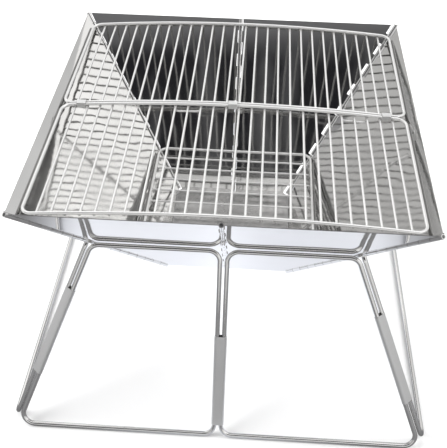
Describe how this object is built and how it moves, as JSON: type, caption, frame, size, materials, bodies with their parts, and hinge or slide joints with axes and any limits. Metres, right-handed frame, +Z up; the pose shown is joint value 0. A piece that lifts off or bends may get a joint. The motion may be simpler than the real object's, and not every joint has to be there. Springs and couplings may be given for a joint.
{
  "type": "folding camp grill",
  "caption": "Folding charcoal grill: a hinged sheet bowl on a folding wire stand, with a cooking net, a charcoal grate and a bottom plate.",
  "frame": {"origin": "on the floor, at the middle of the stand", "axes": "+Z up, +Y to the back, +X to the right"},
  "size_m": [0.529, 0.529, 0.3328],
  "materials": {
    "polished_sheet": "mirror polished stainless sheet",
    "pin_steel": "drawn steel",
    "stand_wire": "mirror polished stainless wire",
    "sleeve_sheet": "satin stainless sheet",
    "net_wire": "mirror polished stainless wire",
    "clip_sheet": "satin stainless sheet",
    "grate_wire": "mirror polished stainless wire",
    "plate_sheet": "satin stainless sheet"
  },
  "bodies": {
    "stand_left": {"stand_loop_left": "stand_wire", "stand_sleeve_front_left": "sleeve_sheet", "stand_sleeve_back_left": "sleeve_sheet"},
    "stand_front_left": {"stand_loop_front_left": "stand_wire"},
    "stand_front_right": {"stand_loop_front_right": "stand_wire", "stand_sleeve_front": "sleeve_sheet"},
    "stand_right": {"stand_loop_right": "stand_wire", "stand_sleeve_front_right": "sleeve_sheet", "stand_sleeve_back_right": "sleeve_sheet"},
    "stand_back_left": {"stand_loop_back_left": "stand_wire", "stand_sleeve_back": "sleeve_sheet"},
    "stand_back_right": {"stand_loop_back_right": "stand_wire"},
    "bowl_left": {"bowl_panel_left": "polished_sheet", "hinge_pin_front_left": "pin_steel", "hinge_pin_back_left": "pin_steel"},
    "bowl_front_left": {"bowl_panel_front_left": "polished_sheet", "hinge_pin_front": "pin_steel"},
    "bowl_front_right": {"bowl_panel_front_right": "polished_sheet"},
    "bowl_right": {"bowl_panel_right": "polished_sheet", "hinge_pin_front_right": "pin_steel", "hinge_pin_back_right": "pin_steel"},
    "bowl_back_left": {"bowl_panel_back_left": "polished_sheet", "hinge_pin_back": "pin_steel"},
    "bowl_back_right": {"bowl_panel_back_right": "polished_sheet"},
    "net_front": {"net_front_frame": "net_wire", "net_front_bars": "net_wire", "net_clips": "clip_sheet"},
    "net_back": {"net_back_frame": "net_wire", "net_back_bars": "net_wire", "net_stop_bows": "net_wire"},
    "grate": {"grate_frame": "grate_wire", "grate_rods": "grate_wire", "grate_side_strips": "polished_sheet"},
    "plate": {"bottom_plate": "plate_sheet"}
  },
  "joints": [
    {"name": "bowl_lift", "type": "slide", "parent": "stand_left", "child": "bowl_left", "axis": [0, 0, 1], "range_m": [0, 0.36]},
    {"name": "stand_fold", "type": "hinge", "parent": "stand_left", "child": "stand_front_left", "pos_m": [-0.14565, -0.15159, 0.25663], "axis": [0.3695, 0.3695, 0.8526], "range_deg": [0, 83.51]},
    {"name": "stand_front_hinge", "type": "hinge", "parent": "stand_front_left", "child": "stand_front_right", "pos_m": [-0.0042, -0.16226, 0.232], "axis": [0, -0.3976, -0.9175], "range_deg": [0, 152.67]},
    {"name": "stand_front_right_hinge", "type": "hinge", "parent": "stand_front_right", "child": "stand_right", "pos_m": [0.14565, -0.15159, 0.25663], "axis": [-0.3695, 0.3695, 0.8526], "range_deg": [0, 84.5]},
    {"name": "stand_back_left_hinge", "type": "hinge", "parent": "stand_left", "child": "stand_back_left", "pos_m": [-0.14565, 0.15159, 0.25663], "axis": [-0.3695, 0.3695, -0.8526], "range_deg": [0, 83.18]},
    {"name": "stand_back_hinge", "type": "hinge", "parent": "stand_back_left", "child": "stand_back_right", "pos_m": [0.0042, 0.16226, 0.232], "axis": [0, -0.3976, 0.9175], "range_deg": [0, 151.68]},
    {"name": "bowl_fold", "type": "hinge", "parent": "bowl_left", "child": "bowl_front_left", "pos_m": [0, 0, 0.005], "axis": [-0.4947, -0.4947, 0.7145], "range_deg": [0, 91.2]},
    {"name": "bowl_front_hinge", "type": "hinge", "parent": "bowl_front_left", "child": "bowl_front_right", "pos_m": [0, 0, 0.005], "axis": [0, 0.5692, -0.8222], "range_deg": [0, 151.22]},
    {"name": "bowl_front_right_hinge", "type": "hinge", "parent": "bowl_front_right", "child": "bowl_right", "pos_m": [0, 0, 0.005], "axis": [0.4947, -0.4947, 0.7145], "range_deg": [0, 92.12]},
    {"name": "bowl_back_left_hinge", "type": "hinge", "parent": "bowl_left", "child": "bowl_back_left", "pos_m": [0, 0, 0.005], "axis": [0.4947, -0.4947, -0.7145], "range_deg": [0, 91.21]},
    {"name": "bowl_back_hinge", "type": "hinge", "parent": "bowl_back_left", "child": "bowl_back_right", "pos_m": [0, 0, 0.005], "axis": [0, 0.5692, 0.8222], "range_deg": [0, 149.58]},
    {"name": "net_lift", "type": "slide", "parent": "bowl_left", "child": "net_front", "axis": [0, 0, 1], "range_m": [0, 0.6005]},
    {"name": "grate_lift", "type": "slide", "parent": "bowl_left", "child": "grate", "axis": [0, 0, 1], "range_m": [0, 0.6005]},
    {"name": "plate_lift", "type": "slide", "parent": "bowl_left", "child": "plate", "axis": [0, 0, 1], "range_m": [0, 0.6005]},
    {"name": "net_fold", "type": "hinge", "parent": "net_front", "child": "net_back", "pos_m": [0, 0.0023, 0.329], "axis": [1, 0, 0], "range_deg": [0, 170]}
  ],
  "couplings": [
    {"joint": "stand_fold", "follows": "bowl_lift", "rad_per_m": 4.0482},
    {"joint": "stand_front_hinge", "follows": "bowl_lift", "rad_per_m": 7.4013},
    {"joint": "stand_front_right_hinge", "follows": "bowl_lift", "rad_per_m": 4.096},
    {"joint": "stand_back_left_hinge", "follows": "bowl_lift", "rad_per_m": 4.0324},
    {"joint": "stand_back_hinge", "follows": "bowl_lift", "rad_per_m": 7.3531},
    {"joint": "bowl_front_hinge", "follows": "bowl_fold", "ratio": 1.658},
    {"joint": "bowl_front_right_hinge", "follows": "bowl_fold", "ratio": 1.01},
    {"joint": "bowl_back_left_hinge", "follows": "bowl_fold", "ratio": 1},
    {"joint": "bowl_back_hinge", "follows": "bowl_fold", "ratio": 1.64},
    {"joint": "net_lift", "follows": "bowl_fold", "m_per_rad": 0.37695},
    {"joint": "grate_lift", "follows": "bowl_fold", "m_per_rad": 0.37695},
    {"joint": "plate_lift", "follows": "bowl_fold", "m_per_rad": 0.37695}
  ]
}
